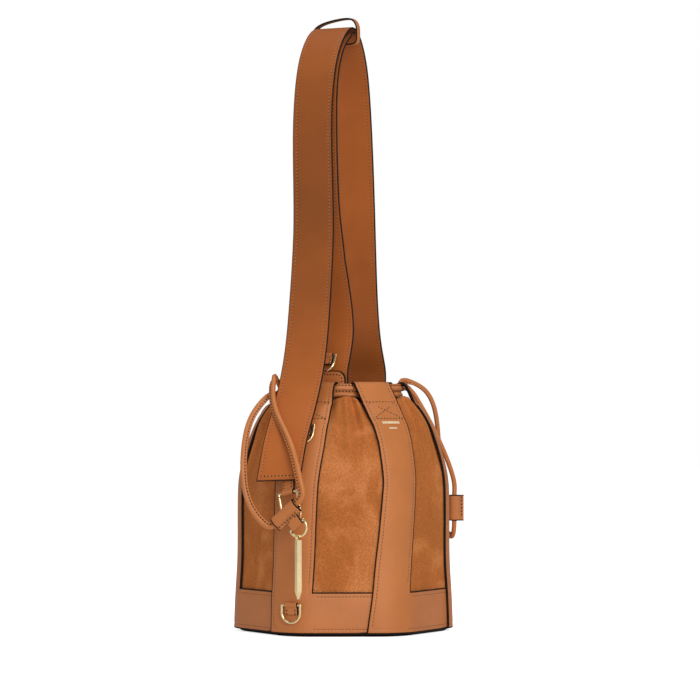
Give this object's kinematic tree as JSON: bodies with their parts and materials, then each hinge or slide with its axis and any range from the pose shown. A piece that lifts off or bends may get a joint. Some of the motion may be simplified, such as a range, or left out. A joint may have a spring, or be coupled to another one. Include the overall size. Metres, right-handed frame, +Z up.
{
  "type": "drawstring bucket bag",
  "caption": "Drawstring bucket bag in tan leather and suede with a double shoulder strap, cord loops and gold rings.",
  "frame": {"origin": "centre of the bag's underside", "axes": "+Z up, -Y is the front, X runs from strap anchor to strap anchor; the free strap tail is on -X"},
  "size_m": [0.2261, 0.1854, 0.564],
  "materials": {
    "smooth_leather": "smooth, softly polished",
    "suede": "brushed suede",
    "cord_leather": "rolled and stitched",
    "lining_cloth": "woven",
    "stiffener": "matte",
    "gold_metal": "polished pale gold"
  },
  "bodies": {
    "bag": {"side_strip_left": "smooth_leather", "front_strip_left": "smooth_leather", "front_strip_right": "smooth_leather", "side_strip_right": "smooth_leather", "back_strip_right": "smooth_leather", "back_strip_left": "smooth_leather", "panel_front": "suede", "panel_front_left": "suede", "panel_front_right": "suede", "panel_back": "suede", "panel_back_left": "suede", "panel_back_right": "suede", "lining": "lining_cloth", "base_panel": "smooth_leather", "base_board": "stiffener", "neck_cord_left": "cord_leather", "neck_cord_right": "cord_leather", "upper_d_tab_left": "smooth_leather", "upper_d_tab_right": "smooth_leather", "lower_d_tab_left": "smooth_leather", "lower_d_tab_right": "smooth_leather"},
    "strap": {"long_strap": "smooth_leather", "short_strap": "smooth_leather", "clip_tab": "smooth_leather", "strap_d_tab": "smooth_leather"},
    "keeper": {"strap_keeper": "smooth_leather"},
    "left_cord": {"cord_loop_left": "cord_leather", "cord_sleeve_left": "smooth_leather", "charm_tab": "smooth_leather"},
    "right_cord": {"cord_loop_right": "cord_leather", "cord_sleeve_right": "smooth_leather"},
    "charm_link": {"charm_ring": "gold_metal"},
    "charm_bar": {"charm": "gold_metal"},
    "clip": {"clip_ring": "gold_metal"},
    "gate": {"clip_gate": "gold_metal"},
    "strap_ring": {"strap_d_ring": "gold_metal"},
    "upper_ring_left": {"upper_d_ring_left": "gold_metal"},
    "upper_ring_right": {"upper_d_ring_right": "gold_metal"},
    "lower_ring_left": {"lower_d_ring_left": "gold_metal"},
    "lower_ring_right": {"lower_d_ring_right": "gold_metal"}
  },
  "joints": [
    {"name": "strap_lean", "type": "hinge", "parent": "bag", "child": "strap", "pos_m": [0, 0, 0.233], "axis": [1, 0, 0], "range_deg": [-5, 5], "stiffness_Nm_per_rad": 2},
    {"name": "keeper_slide", "type": "slide", "parent": "strap", "child": "keeper", "axis": [1, 0, 0], "range_m": [-0.005, 0.005]},
    {"name": "left_cord_lift", "type": "hinge", "parent": "bag", "child": "left_cord", "pos_m": [-0.0591, 0.0307, 0.2184], "axis": [0, 1, 0], "range_deg": [0, 35]},
    {"name": "right_cord_lift", "type": "hinge", "parent": "bag", "child": "right_cord", "pos_m": [0.0591, -0.0307, 0.2241], "axis": [0, -1, 0], "range_deg": [0, 30]},
    {"name": "charm_ring_swing", "type": "hinge", "parent": "left_cord", "child": "charm_link", "pos_m": [-0.117, -0.01883, 0.10121], "axis": [0, 0.7741, -0.633], "range_deg": [-5, 50]},
    {"name": "charm_swing", "type": "hinge", "parent": "charm_link", "child": "charm_bar", "pos_m": [-0.117, -0.0201, 0.09107], "axis": [0, 1, 0], "range_deg": [-5, 50]},
    {"name": "clip_swing", "type": "hinge", "parent": "strap", "child": "clip", "pos_m": [-0.1098, -0.005, 0.13], "axis": [0, 0.9781, -0.2079], "range_deg": [-12, 3]},
    {"name": "gate_open", "type": "hinge", "parent": "clip", "child": "gate", "pos_m": [-0.1098, 0.0009, 0.11208], "axis": [1, 0, 0], "range_deg": [0, 22], "stiffness_Nm_per_rad": 0.002},
    {"name": "strap_ring_flip", "type": "hinge", "parent": "strap", "child": "strap_ring", "pos_m": [-0.0439, -0.008, 0.2535], "axis": [0, 1, 0], "range_deg": [0, 110]},
    {"name": "upper_ring_left_flip", "type": "hinge", "parent": "bag", "child": "upper_ring_left", "pos_m": [-0.08488, -0.00853, 0.19], "axis": [-0.1219, 0.9925, 0], "range_deg": [0, 4]},
    {"name": "upper_ring_right_flip", "type": "hinge", "parent": "bag", "child": "upper_ring_right", "pos_m": [0.08488, 0.00853, 0.19], "axis": [0.1219, -0.9925, 0], "range_deg": [0, 150]},
    {"name": "lower_ring_left_flip", "type": "hinge", "parent": "bag", "child": "lower_ring_left", "pos_m": [-0.10232, -0.004, 0.0288], "axis": [-0.0889, 0.996, 0], "range_deg": [0, 150]},
    {"name": "lower_ring_right_flip", "type": "hinge", "parent": "bag", "child": "lower_ring_right", "pos_m": [0.10232, 0.004, 0.0288], "axis": [0.0889, -0.996, 0], "range_deg": [0, 150]}
  ]
}
